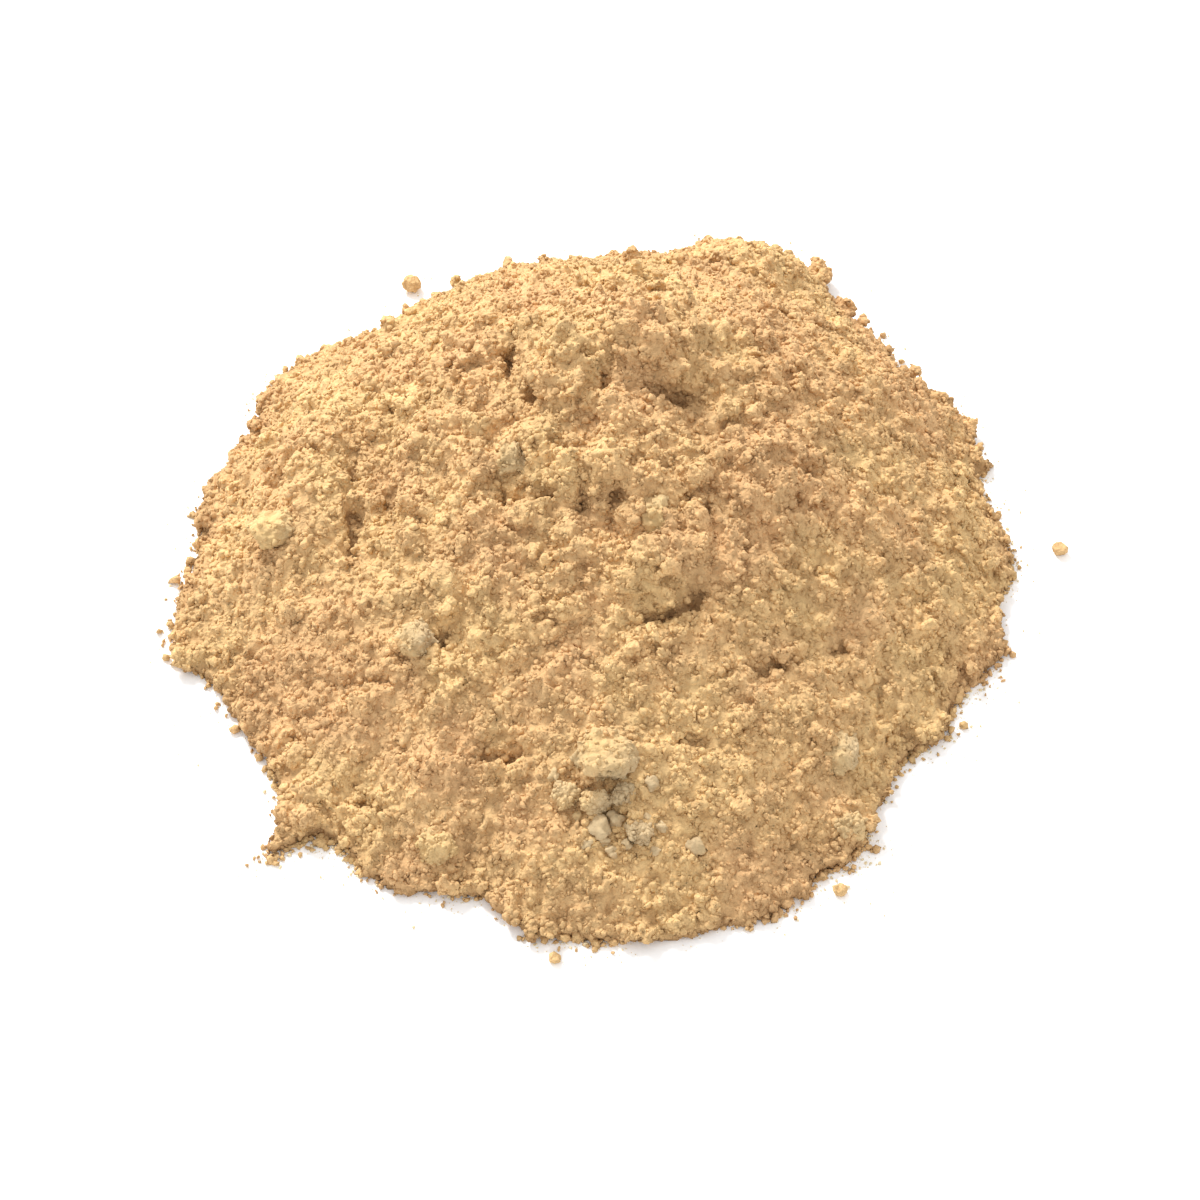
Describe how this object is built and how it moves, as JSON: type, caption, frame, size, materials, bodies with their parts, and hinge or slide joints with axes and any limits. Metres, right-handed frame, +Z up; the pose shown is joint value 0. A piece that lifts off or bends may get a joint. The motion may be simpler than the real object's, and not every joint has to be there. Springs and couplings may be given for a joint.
{
  "type": "heap of ground ginger",
  "caption": "Low irregular heap of fine tan ground ginger root with caked lumps in its slopes and a few loose crumbs around its foot, lying on a flat underside.",
  "frame": {"origin": "on the surface that the heap lies on, under the middle of the box around the heap and its loose crumbs", "axes": "+Z up, +Y towards the steep back of the heap, the long front slope faces -Y"},
  "size_m": [0.1174, 0.1228, 0.0315],
  "materials": {
    "ground_ginger": "matte",
    "caked_ginger": "matte",
    "loose_crumbs": "matte"
  },
  "bodies": {
    "root": {"powder_heap": "ground_ginger", "lump_front_slab": "caked_ginger", "lump_front_upper": "caked_ginger", "lump_front_lower": "caked_ginger", "lump_front_side": "caked_ginger", "lump_front_small": "caked_ginger", "lump_front_left": "caked_ginger", "lump_front_right": "caked_ginger", "lump_right_block": "caked_ginger", "lump_left_slope": "caked_ginger", "lump_middle_pale": "caked_ginger", "lump_middle_block": "caked_ginger", "lump_left_shoulder": "caked_ginger", "crumb_back_left": "loose_crumbs", "crumb_back_left_small": "loose_crumbs", "crumb_back": "loose_crumbs", "crumb_right": "loose_crumbs", "crumb_front_right": "loose_crumbs", "crumb_front": "loose_crumbs"}
  },
  "joints": []
}
